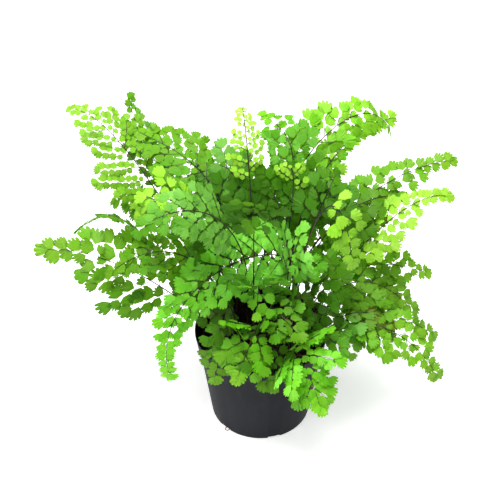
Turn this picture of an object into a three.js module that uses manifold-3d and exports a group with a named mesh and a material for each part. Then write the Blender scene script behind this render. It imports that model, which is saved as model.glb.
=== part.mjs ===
// A maidenhair fern growing in a black nursery pot.
// Units are millimetres and +Z is up. The origin is the middle of the pot's underside, on the
// surface that it stands on. +X is the wider side of the plant and -Y is its front.
//
// Each frond is one leaf: a thin black stalk that comes out of the compost, arches over and
// carries a feathered blade. Its arch is a cubic curve, and the blade is a thin plate along the
// last part of it, with a pair of lobes for each pair of side branches.

import * as THREE from 'three';
import { mergeVertices } from 'three/addons/utils/BufferGeometryUtils.js';
import Module from 'manifold-3d';

const wasm = await Module();
wasm.setup();

// Pot: a 13 cm nursery pot, thin moulded plastic with a deeper rim band.
const POT_HEIGHT = 105;
const POT_BASE_RADIUS = 50;
const POT_SHOULDER_RADIUS = 61.8;   // the wall just below the rim band
const POT_RIM_RADIUS = 65;
const POT_BAND_HEIGHT = 14;
const POT_BAND_STEP = 1.4;          // how far the band stands out from the wall below it
const POT_WALL = 1.6;
const POT_FLOOR = 4;
const POT_EDGE_ROUND = 1.2;
const POT_FACETS = 40;

// Raised drain channels under the floor, one drain hole in each.
const CHANNEL_COUNT = 6;
const CHANNEL_TURN = -75;           // degrees from +X to the first channel
const CHANNEL_WIDTH = 12.5;
const CHANNEL_HEIGHT = 2.4;
const CHANNEL_START = 14;           // the hub inside this radius stays flat
const DRAIN_RADIUS = 4.5;
const DRAIN_CENTRE = 36;
const DRAIN_FACETS = 10;

// Compost, slightly domed, just below the rim.
const SOIL_LEVEL = 91;
const SOIL_DOME = 2;
const CLEARANCE = 0.3;              // gap that touching pieces keep
const WELD = 0.001;                 // points closer than this count as one
const SLIVER = 0.05;                // features smaller than this are smoothed away

// Root that has grown out of a drain channel and lies in it.
const ROOT_RADIUS = 0.5;
const ROOT_SIDES = 6;
const ROOT_STEPS = 12;

// Fronds.
const STALK_RADIUS = 0.65;
const STALK_SIDES = 4;
const STALK_STEP = 14;              // length of one straight piece of a stalk
const STALK_OVERLAP = 0.07;         // part of the arch by which the stalk runs into the blade
const ROOTING_DEPTH = 8;            // how deep each stalk goes into the compost
const CORE_RADIUS = 1.0;            // round the midrib, where no neighbour cuts the blade
const CORE_SIDES = 4;
const CORE_STEP = 12;
const BLADE_STATIONS = 12;          // base, lobe, notch, lobe ... tip
const BLADE_HALF_THICKNESS = 0.6;
const NOTCH_SHARE = 0.3;            // how far a notch leaves the midrib
const BLADE_SAG = 0.1;              // how much the sides of a blade hang, per half-width
const FOOT_INNER = 10;              // the tallest fronds come up this far from the middle
const FOOT_SPREAD = 0.11;           // lower fronds come up further out, per mm of height
const FOOT_STAGGER = 6;             // neighbours in a row of three stand this much further out
const TALLEST = 312;
const DEFAULT_LEAN = 0.12;
const DEFAULT_SETBACK = 0.38;
const BOW_AT_CREST = 0.8;

// One row per frond:
// azimuth in degrees (0 is +X, 90 is away), reach of the tip from the pot's axis, height of the
// tip, rise of the first handle over the compost, height of the second handle over the tip,
// share of the arch where the blade starts, half-width of the blade, roll about the midrib in
// degrees, and then, where they differ from the usual, azimuth of the foot, lean of the first
// handle, setback of the second one and bow.
const FRONDS = [
  // tall ones at the left
  [157, 190, 308, 75, 15, 0.46, 60, -25, { lean: 0.25, setback: 0.3, bow: 5 }],
  [140, 160, 302, 135, -50, 0.6, 30, -20, { from: 128, lean: 0.1, setback: 0.05, bow: 20 }],
  [150, 135, 290, 195, -15, 0.5, 42, -20, { lean: 0.1, bow: -5 }],
  [115, 135, 240, 165, -30, 0.55, 38, -10, { from: 178, lean: 0.3, setback: 0, bow: 35 }],
  [172, 172, 210, 60, 65, 0.5, 34, 30, { lean: 0.35, setback: 0.35, bow: 5 }],
  [190, 140, 195, 110, 45, 0.36, 42, -20],
  [155, 155, 212, 170, 20, 0.55, 36, -25, { lean: 0.2, setback: 0.35, bow: -5 }],
  [185, 196, 216, 35, 0, 0.38, 58, -55, { setback: 0.35 }],
  // crown
  [210, 120, 270, 190, 30, 0.36, 44, -45, { lean: -0.1, setback: 0.25, bow: 10 }],
  [145, 90, 240, 195, 50, 0.42, 34, -30, { from: 152, lean: -0.1, bow: -25 }],
  [185, 110, 245, 175, 45, 0.5, 38, -35, { lean: 0.25, setback: 0.3 }],
  [105, 75, 310, 185, 25, 0.42, 24, 0, { lean: 0.15, bow: 5 }],
  [88, 85, 295, 210, -5, 0.45, 36, -10, { lean: 0.1, setback: 0.45, bow: -40 }],
  // right side, from the top down
  [40, 160, 270, 180, 70, 0.38, 40, 45, { from: 100, lean: 0.05, setback: 0.25, bow: 5 }],
  [15, 178, 270, 125, 5, 0.42, 36, 45, { lean: 0.05, setback: 0.3 }],
  [4, 168, 255, 65, 15, 0.44, 34, 35, { lean: 0.25, setback: 0.3, bow: -5 }],
  [6, 158, 162, 105, 25, 0.3, 42, 45, { setback: 0.3, bow: -5 }],
  [-6, 145, 142, 75, 60, 0.34, 42, 45, { lean: 0.25 }],
  [55, 35, 275, 190, 15, 0.5, 24, 20, { lean: 0.35, setback: 0.2, bow: -20 }],
  [-35, 95, 230, 200, 90, 0.58, 26, 40, { from: -42, setback: 0.2, bow: 10 }],
  // the long one that sweeps over the front left
  [223, 115, 115, 120, 140, 0.2, 50, -60, { from: -5, lean: -0.9, setback: -0.2, bow: -20 }],
  // low ones at the right
  [-14, 125, 140, 20, 30, 0.34, 32, 30, { lean: 0.25, bow: -5 }],
  [-10, 125, 115, 40, 35, 0.36, 38, 45, { lean: 0.25, setback: 0.3, bow: -5 }],
  [0, 170, 96, 65, 60, 0.45, 32, 40, { from: -8, lean: 0.05, setback: 0.45, bow: -5 }],
  [-18, 175, 92, 50, 80, 0.42, 36, 35, { lean: 0.05, setback: 0.25 }],
  [-28, 95, 112, 30, 45, 0.4, 38, 45, { lean: 0.2, setback: 0.3, bow: -5 }],
  // front, over the rim
  [-60, 108, 90, 30, 70, 0.27, 52, 25, { lean: 0.2, setback: 0.35, bow: -5 }],
  [-106, 82, 115, 85, 50, 0.34, 46, -10, { bow: 15 }],
  [-124, 80, 102, 90, 60, 0.36, 36, -20, { setback: 0.3, bow: 5 }],
  [-65, 75, 160, 100, 15, 0.3, 42, 30, { lean: 0.05, bow: -15 }],
  // short ones that fill the middle
  [24, 70, 265, 175, 5, 0.42, 40, 45, { lean: 0.25, setback: 0.1, bow: -25 }],
  [-105, 40, 260, 180, 30, 0.42, 44, 0],
  [265, 55, 175, 120, 20, 0.3, 44, 0],
  [12, 125, 245, 130, 10, 0.4, 42, 45, { lean: 0.15, setback: 0.35, bow: -5 }],
  [-10, 80, 190, 85, 10, 0.3, 46, 55, { from: -19, lean: 0.2, setback: 0.2, bow: -5 }],
  [-135, 60, 135, 80, 45, 0.28, 44, -45, { setback: 0.2 }],
  [-82, 80, 106, 65, 60, 0.34, 46, 0],
  [-166, 65, 185, 140, 50, 0.28, 44, -45],
  [152, 85, 230, 160, 50, 0.32, 46, -45],
  [26, 85, 240, 175, 40, 0.36, 46, 45],
  [-45, 50, 160, 120, 30, 0.3, 40, 45],
  [172, 60, 205, 150, 30, 0.3, 46, -55],
  [70, 55, 235, 170, 40, 0.3, 48, 30],
  [-155, 50, 145, 110, 30, 0.3, 40, -40],
  [-25, 52, 190, 140, 35, 0.3, 46, 50, { from: -15, lean: 0 }],
  [40, 162, 280, 170, 15, 0.42, 22, 40, { setback: 0.4 }],
  [50, 60, 130, 80, 40, 0.25, 46, 40],
  [-34, 75, 130, 80, 40, 0.28, 42, 45],
  [180, 80, 140, 100, 40, 0.26, 46, -50],
  // back
  [62, 140, 190, 150, 60, 0.25, 54, 35],
  [86, 140, 170, 150, 60, 0.24, 54, 0],
  [112, 140, 180, 150, 60, 0.25, 54, -30],
  [72, 110, 105, 100, 60, 0.24, 50, 25],
  [132, 120, 120, 110, 60, 0.25, 50, -40],
  [36, 145, 150, 120, 60, 0.28, 50, 45],
  [118, 120, 205, 170, 60, 0.28, 50, -35],
  [136, 130, 160, 120, 60, 0.3, 46, -45],
];

const UP = new THREE.Vector3(0, 0, 1);

const blackPlastic = () => new THREE.MeshStandardMaterial({ color: 0x2b2d31, roughness: 0.5, metalness: 0 });
const compost = () => new THREE.MeshStandardMaterial({ color: 0x2a1d14, roughness: 0.95, metalness: 0 });
const rootSkin = () => new THREE.MeshStandardMaterial({ color: 0xb08a78, roughness: 0.8, metalness: 0 });
const leafGreen = () => new THREE.MeshStandardMaterial({ color: 0x5fae2c, roughness: 0.55, metalness: 0 });

// ---------------------------------------------------------------- solids

// A closed geometry as a manifold solid, with its faces pointing out.
function toSolid(geometry) {
  const bare = geometry.clone();
  bare.deleteAttribute('normal');
  bare.deleteAttribute('uv');
  const merged = mergeVertices(bare, WELD);
  const positions = merged.getAttribute('position').array;
  const index = merged.getIndex().array;
  const triangles = [];
  let volume = 0;
  for (let i = 0; i < index.length; i += 3) {
    const [a, b, c] = index.slice(i, i + 3);
    if (a === b || b === c || c === a) continue;
    triangles.push(a, b, c);
    const corner = (k) => new THREE.Vector3().fromArray(positions, 3 * k);
    volume += corner(a).dot(corner(b).cross(corner(c)));
  }
  if (volume < 0) triangles.reverse();
  return new wasm.Manifold(new wasm.Mesh({
    numProp: 3,
    vertProperties: new Float32Array(positions),
    triVerts: new Uint32Array(triangles),
  }));
}

// A manifold solid as a three.js geometry.
function toGeometry(solid) {
  const mesh = solid.getMesh();
  const geometry = new THREE.BufferGeometry();
  geometry.setAttribute('position', new THREE.BufferAttribute(mesh.vertProperties, 3));
  geometry.setIndex(new THREE.BufferAttribute(mesh.triVerts, 1));
  geometry.computeVertexNormals();
  return geometry;
}

function boxesMeet(a, b) {
  const p = a.boundingBox();
  const q = b.boundingBox();
  return [0, 1, 2].every((k) => p.min[k] <= q.max[k] && q.min[k] <= p.max[k]);
}

function cutAway(solid, cutter) {
  return boxesMeet(solid, cutter) ? solid.subtract(cutter) : solid;
}

// A round bar of the given radius along a curve, closed at both ends.
function bar(curve, radius, sides, steps) {
  const section = new THREE.Shape();
  for (let k = 0; k < sides; k += 1) {
    const angle = (2 * Math.PI * k) / sides;
    const point = [radius * Math.cos(angle), radius * Math.sin(angle)];
    if (k === 0) section.moveTo(...point);
    else section.lineTo(...point);
  }
  return toSolid(new THREE.ExtrudeGeometry(section, { steps, bevelEnabled: false, extrudePath: curve }));
}

function named(name, geometry, material) {
  const mesh = new THREE.Mesh(geometry, material);
  mesh.name = name;
  return mesh;
}

// ---------------------------------------------------------------- pot, compost and root

// Lathe about +Z of [radius, height] points that start and end on the axis.
function turned(points, facets) {
  const geometry = new THREE.LatheGeometry(points.map(([r, z]) => new THREE.Vector2(r, z)), facets);
  geometry.rotateX(Math.PI / 2);
  return toSolid(geometry);
}

function wallRadius(z) {
  const shoulder = POT_HEIGHT - POT_BAND_HEIGHT;
  return POT_BASE_RADIUS + (POT_SHOULDER_RADIUS - POT_BASE_RADIUS) * (z / shoulder);
}

function pot() {
  const shoulder = POT_HEIGHT - POT_BAND_HEIGHT;
  const band = POT_SHOULDER_RADIUS + POT_BAND_STEP;
  let body = turned([
    [0, 0],
    [POT_BASE_RADIUS - POT_EDGE_ROUND, 0],
    [POT_BASE_RADIUS, POT_EDGE_ROUND],
    [POT_SHOULDER_RADIUS, shoulder],
    [band, shoulder + 0.6],
    [POT_RIM_RADIUS - 0.4, POT_HEIGHT - 3],
    [POT_RIM_RADIUS, POT_HEIGHT - 1.6],
    [POT_RIM_RADIUS - 0.4, POT_HEIGHT - 0.3],
    [POT_RIM_RADIUS - 1.2, POT_HEIGHT],
    [POT_RIM_RADIUS - 2.2, POT_HEIGHT - 0.6],
    [band - POT_WALL, shoulder + 2],
    [wallRadius(shoulder) - POT_WALL, shoulder - 1],
    [wallRadius(POT_FLOOR) - POT_WALL, POT_FLOOR],
    [0, POT_FLOOR],
  ], POT_FACETS);
  for (let k = 0; k < CHANNEL_COUNT; k += 1) {
    const turn = THREE.MathUtils.degToRad(CHANNEL_TURN + (360 * k) / CHANNEL_COUNT);
    const length = POT_RIM_RADIUS - CHANNEL_START;
    const channel = new THREE.BoxGeometry(length, CHANNEL_WIDTH, 2 * CHANNEL_HEIGHT);
    channel.translate(CHANNEL_START + length / 2, 0, 0);
    channel.rotateZ(turn);
    const hole = new THREE.CylinderGeometry(DRAIN_RADIUS, DRAIN_RADIUS, 3 * POT_FLOOR, DRAIN_FACETS);
    hole.rotateX(Math.PI / 2);
    hole.translate(DRAIN_CENTRE, 0, 0);
    hole.rotateZ(turn);
    body = body.subtract(toSolid(channel)).subtract(toSolid(hole));
  }
  return body;
}

function soil(stalkHoles) {
  const gap = POT_WALL + CLEARANCE;
  let body = turned([
    [0, POT_FLOOR + CLEARANCE],
    [wallRadius(POT_FLOOR) - gap, POT_FLOOR + CLEARANCE],
    [wallRadius(SOIL_LEVEL - 3) - gap, SOIL_LEVEL - 3],
    [wallRadius(SOIL_LEVEL - 3) - gap - 6, SOIL_LEVEL - 0.8],
    [FOOT_INNER, SOIL_LEVEL + SOIL_DOME],
    [0, SOIL_LEVEL + SOIL_DOME],
  ], POT_FACETS / 2);
  for (const hole of stalkHoles) body = body.subtract(hole);
  return body;
}

// The root lies in the channel at the front left and loops just out of its mouth.
function rootLoop() {
  const route = new THREE.CatmullRomCurve3([
    new THREE.Vector3(-29.0, -29.5, 1.3),
    new THREE.Vector3(-33.5, -34.0, 1.1),
    new THREE.Vector3(-36.2, -37.6, 0.8),
    new THREE.Vector3(-34.0, -39.4, 0.7),
    new THREE.Vector3(-31.6, -38.0, 0.8),
    new THREE.Vector3(-29.6, -34.6, 1.2),
  ]);
  return bar(route, ROOT_RADIUS, ROOT_SIDES, ROOT_STEPS);
}

// ---------------------------------------------------------------- fronds

function horizontal(azimuth) {
  const angle = THREE.MathUtils.degToRad(azimuth);
  return new THREE.Vector3(Math.cos(angle), Math.sin(angle), 0);
}

// The arch of a frond's midrib, from the compost to the tip of the blade.
function describeFrond(row, index) {
  const [azimuth, reach, top, rise, crest, start, halfWidth, roll, extra = {}] = row;
  const { from = azimuth, lean = DEFAULT_LEAN, setback = DEFAULT_SETBACK, bow = 0 } = extra;
  const out = horizontal(azimuth);
  const side = horizontal(azimuth + 90);
  const stagger = FOOT_STAGGER * ((index + 1) % 3);
  const footRadius = FOOT_INNER + FOOT_SPREAD * (TALLEST - top) + stagger;
  const foot = horizontal(from).multiplyScalar(footRadius).setZ(SOIL_LEVEL);
  const tip = out.clone().multiplyScalar(reach).setZ(top);
  const firstHandle = foot.clone()
    .addScaledVector(UP, rise)
    .addScaledVector(out, lean * reach)
    .addScaledVector(side, bow);
  const secondHandle = tip.clone()
    .addScaledVector(UP, crest)
    .addScaledVector(out, -setback * reach)
    .addScaledVector(side, BOW_AT_CREST * bow);
  const arch = new THREE.CubicBezierCurve3(foot, firstHandle, secondHandle, tip);
  return { arch, side, start, halfWidth, roll: THREE.MathUtils.degToRad(roll) };
}

// Part of a frond's arch, from the buried foot up to the given share of it.
function stretch(frond, end, steps, extraDepth) {
  const depth = ROOTING_DEPTH + extraDepth;
  const points = [frond.arch.getPoint(0).addScaledVector(UP, -depth)];
  for (let k = 0; k <= steps; k += 1) points.push(frond.arch.getPoint((end * k) / steps));
  return new THREE.CatmullRomCurve3(points);
}

function midribBar(frond, radius) {
  const steps = Math.round(frond.arch.getLength() / CORE_STEP);
  return bar(stretch(frond, 1, steps, 0), radius, CORE_SIDES, steps + 1);
}

function stalk(frond, grow) {
  const end = frond.start + STALK_OVERLAP;
  const steps = Math.round((end * frond.arch.getLength()) / STALK_STEP);
  return bar(stretch(frond, end, steps, grow), STALK_RADIUS + grow, STALK_SIDES, steps + 1);
}

// Half-width of the blade at a share of its length: broad near the base, tapering to the tip.
function bladeProfile(share) {
  return (1 - share) ** 0.75 * (0.62 + 0.38 * Math.min(1, share / 0.22));
}

// Corners of one half of the blade's section at a station: the two faces at the midrib, then the
// two at the edge, which lies out at a lobe or back at a notch. Growing it thickens it on all
// sides. The blade closes to a point at both ends.
function halfSection(frond, station, hand, grow) {
  const { arch, side, start, halfWidth, roll } = frond;
  const share = station / BLADE_STATIONS;
  const t = start + (1 - start) * share;
  const along = arch.getTangent(t);
  const middle = arch.getPoint(t);
  if (station === 0) return [middle.addScaledVector(along, -grow)];
  if (station === BLADE_STATIONS) return [middle.addScaledVector(along, grow)];
  const across = side.clone().addScaledVector(along, -side.dot(along)).normalize();
  across.applyAxisAngle(along, roll);
  const normal = along.clone().cross(across);
  const lobe = station % 2 === 1 ? 1 : NOTCH_SHARE;
  const reach = halfWidth * bladeProfile(share) * lobe;
  const edge = middle.clone()
    .addScaledVector(across, hand * (reach + grow))
    .addScaledVector(UP, -BLADE_SAG * reach);
  const thick = BLADE_HALF_THICKNESS + grow;
  return [
    middle.clone().addScaledVector(normal, thick),
    middle.clone().addScaledVector(normal, -thick),
    edge.clone().addScaledVector(normal, grow),
    edge.clone().addScaledVector(normal, -grow),
  ];
}

// The blade: thickest at the midrib, thinning out to its edges. It is joined up from convex
// wedges, two between each station and the next, so that it stays sound where it bends tightly.
function blade(frond, grow) {
  const wedges = [];
  for (let k = 0; k < BLADE_STATIONS; k += 1) {
    for (const hand of [-1, 1]) {
      const corners = [...halfSection(frond, k, hand, grow), ...halfSection(frond, k + 1, hand, grow)];
      wedges.push(wasm.Manifold.hull(corners.map((corner) => corner.toArray())));
    }
  }
  return wasm.Manifold.union(wedges);
}

// The piece of a cut frond that still stands in the compost, without the slivers of the cuts.
function rooted(solid) {
  const pieces = toSolid(toGeometry(solid.simplify(SLIVER))).decompose();
  const lowest = (piece) => piece.boundingBox().min[2];
  return pieces.reduce((a, b) => (lowest(a) <= lowest(b) ? a : b));
}

// Where fronds cross, every blade gives way to the stalks and midribs of the others, and each
// blade gives way to the blades before it in the list.
function frondSolids() {
  const fronds = FRONDS.map(describeFrond);

  const midribCuts = fronds.map((frond) => midribBar(frond, CORE_RADIUS + CLEARANCE));
  const cores = fronds.map((frond) => midribBar(frond, CORE_RADIUS));
  const blades = [];
  const grown = [];
  fronds.forEach((frond, i) => {
    let plate = blade(frond, 0);
    let cutter = blade(frond, CLEARANCE);
    midribCuts.forEach((cut, j) => {
      if (j === i) return;
      plate = cutAway(plate, cut);
      cutter = cutAway(cutter, cores[j]);
    });
    grown.forEach((earlier) => {
      if (boxesMeet(plate, earlier)) plate = plate.subtract(cutAway(earlier, cores[i]));
    });
    blades.push(plate);
    grown.push(cutter);
  });
  return fronds.map((frond, i) => rooted(stalk(frond, 0).add(blades[i])));
}

function stalkHoles() {
  return FRONDS.map(describeFrond).map((frond) => stalk(frond, CLEARANCE));
}

// ---------------------------------------------------------------- assembly

const fern = new THREE.Group();
fern.add(named('pot', toGeometry(pot()), blackPlastic()));
fern.add(named('soil', toGeometry(soil(stalkHoles())), compost()));
fern.add(named('root_loop', toGeometry(rootLoop()), rootSkin()));
frondSolids().forEach((solid, i) => {
  const name = `frond_${String(i + 1).padStart(2, '0')}`;
  fern.add(named(name, toGeometry(solid), leafGreen()));
});

export default fern;
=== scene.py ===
"""A maidenhair fern in a black nursery pot, finished around its construction model.

Lengths are metres. The frame's origin is the middle of the pot's underside, +Z is up, +X is the
wider side of the plant and -Y is its front.

Each frond is one leaf. Its midrib is a cubic curve that rises from the compost and arches over.
Side branches leave the midrib alternately, and fan-shaped leaflets on short stalks sit along
the branches, smaller towards every tip.
"""

import bpy
import numpy as np
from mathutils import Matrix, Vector


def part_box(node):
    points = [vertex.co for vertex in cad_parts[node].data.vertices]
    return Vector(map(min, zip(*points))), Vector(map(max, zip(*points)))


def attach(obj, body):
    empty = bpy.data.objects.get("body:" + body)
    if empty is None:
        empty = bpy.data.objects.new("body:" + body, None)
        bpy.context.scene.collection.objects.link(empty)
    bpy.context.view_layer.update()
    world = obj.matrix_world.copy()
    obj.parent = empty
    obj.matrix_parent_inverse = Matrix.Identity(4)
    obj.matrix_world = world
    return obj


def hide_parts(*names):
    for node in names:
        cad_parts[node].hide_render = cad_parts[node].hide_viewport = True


bl_info = {
    "name": "Potted Maidenhair Fern",
    "version": (1, 0, 0),
    "blender": (4, 5, 0),
    "location": "3D View > Sidebar > Fern",
    "description": "Builds the leaves, compost and pot of a maidenhair fern",
    "category": "Add Mesh",
}

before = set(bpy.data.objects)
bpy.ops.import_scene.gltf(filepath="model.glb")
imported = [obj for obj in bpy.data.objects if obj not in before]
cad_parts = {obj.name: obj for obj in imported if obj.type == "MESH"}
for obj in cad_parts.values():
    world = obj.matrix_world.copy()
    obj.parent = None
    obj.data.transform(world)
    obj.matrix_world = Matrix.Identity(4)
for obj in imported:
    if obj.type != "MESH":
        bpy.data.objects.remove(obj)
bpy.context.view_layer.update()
MM = 0.001
UP = np.array([0.0, 0.0, 1.0])

POT_HIGH = np.array(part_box("pot")[1])
SOIL_LOW, SOIL_HIGH = (np.array(corner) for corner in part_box("soil"))

# ------------------------------------------------------------------ fronds, as in the frame

# In millimetres, as in the rows.
SOIL_LEVEL = 91
ROOTING_DEPTH = 8
FOOT_INNER = 10  # from the middle of the pot to the foot of the tallest frond
FOOT_SPREAD = 0.11  # how much further out, for each millimetre that a frond is shorter
FOOT_STAGGER = 6  # step between the feet of neighbours in the list
TALLEST = 312

# As shares of the reach, and of the bow.
DEFAULT_LEAN = 0.12
DEFAULT_SETBACK = 0.38
BOW_AT_CREST = 0.8

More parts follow.
